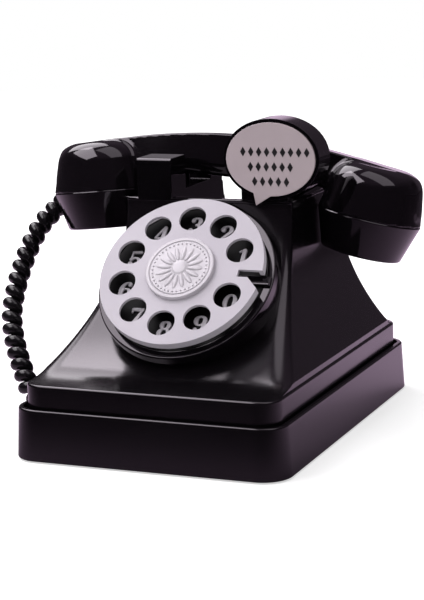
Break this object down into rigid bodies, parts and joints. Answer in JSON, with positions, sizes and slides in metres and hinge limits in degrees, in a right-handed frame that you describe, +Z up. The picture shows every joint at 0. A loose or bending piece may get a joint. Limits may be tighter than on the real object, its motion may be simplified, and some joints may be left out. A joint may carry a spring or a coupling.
{
  "type": "desk telephone",
  "caption": "Desk telephone with a flared plastic tower on a stepped base, finger-wheel dial, handset on a horned cradle, curly cord and an oval sign.",
  "frame": {"origin": "middle of the footprint on the table", "axes": "+Z up, the dial faces -Y, +X to the right of a person who faces the dial"},
  "size_m": [0.2313, 0.2124, 0.1667],
  "materials": {
    "black_plastic": "glossy moulded plastic",
    "cord_plastic": "glossy cord jacket",
    "silver_plastic": "satin silver",
    "steel": "plated",
    "brass": "machined",
    "rubber": "matte",
    "dark_plastic": "matte",
    "board": "lacquered",
    "sign_card": "satin"
  },
  "bodies": {
    "base": {"base_tray": "black_plastic", "rubber_feet": "rubber", "base_screws": "steel", "ballast_plate": "steel", "circuit_board": "board", "ringer": "dark_plastic", "line_socket": "dark_plastic", "body_shell": "black_plastic", "cradle": "black_plastic", "cradle_screws": "steel", "hook_bracket": "steel", "hook_switch": "dark_plastic", "hook_spring": "steel", "dial_bezel": "black_plastic", "number_plate": "black_plastic", "finger_stop": "black_plastic", "dial_frame": "steel", "dial_screws": "steel", "dial_bush": "brass", "governor_post": "steel", "pulse_contacts": "dark_plastic", "return_spring": "steel", "cord_boot_base": "cord_plastic", "handset_cord": "cord_plastic", "sign_housing": "black_plastic", "sign_back": "black_plastic", "sign_plate": "sign_card", "sign_screws": "steel"},
    "dial": {"finger_wheel": "silver_plastic", "dial_medallion": "silver_plastic", "dial_shaft": "steel", "drive_gear": "brass", "pulse_cam": "brass"},
    "governor": {"governor": "brass"},
    "handset": {"handset_body": "black_plastic", "ear_cap": "black_plastic", "mouth_cap": "black_plastic", "receiver_capsule": "steel", "microphone_capsule": "brass", "cord_boot_handset": "cord_plastic"},
    "plunger": {"hook_plunger": "dark_plastic"}
  },
  "joints": [
    {"name": "dial_turn", "type": "hinge", "parent": "base", "child": "dial", "pos_m": [0, -0.0494, 0.09211], "axis": [0, -0.7246, 0.6892], "range_deg": [-328, 0], "stiffness_Nm_per_rad": 0.01, "springref_deg": 28.65},
    {"name": "governor_spin", "type": "hinge", "parent": "base", "child": "governor", "pos_m": [0, -0.06939, 0.0711], "axis": [0, -0.7246, 0.6892], "range_deg": [0, 984]},
    {"name": "handset_lift", "type": "slide", "parent": "base", "child": "handset", "axis": [0, 0, 1], "range_m": [0, 0.06], "deforming": ["handset_cord"]},
    {"name": "hook_rise", "type": "slide", "parent": "base", "child": "plunger", "axis": [0, 0, 1], "range_m": [0, 0.003], "deforming": ["hook_spring"]}
  ],
  "couplings": [
    {"joint": "governor_spin", "follows": "dial_turn", "ratio": -3},
    {"joint": "hook_rise", "follows": "handset_lift", "ratio": 0.05}
  ]
}
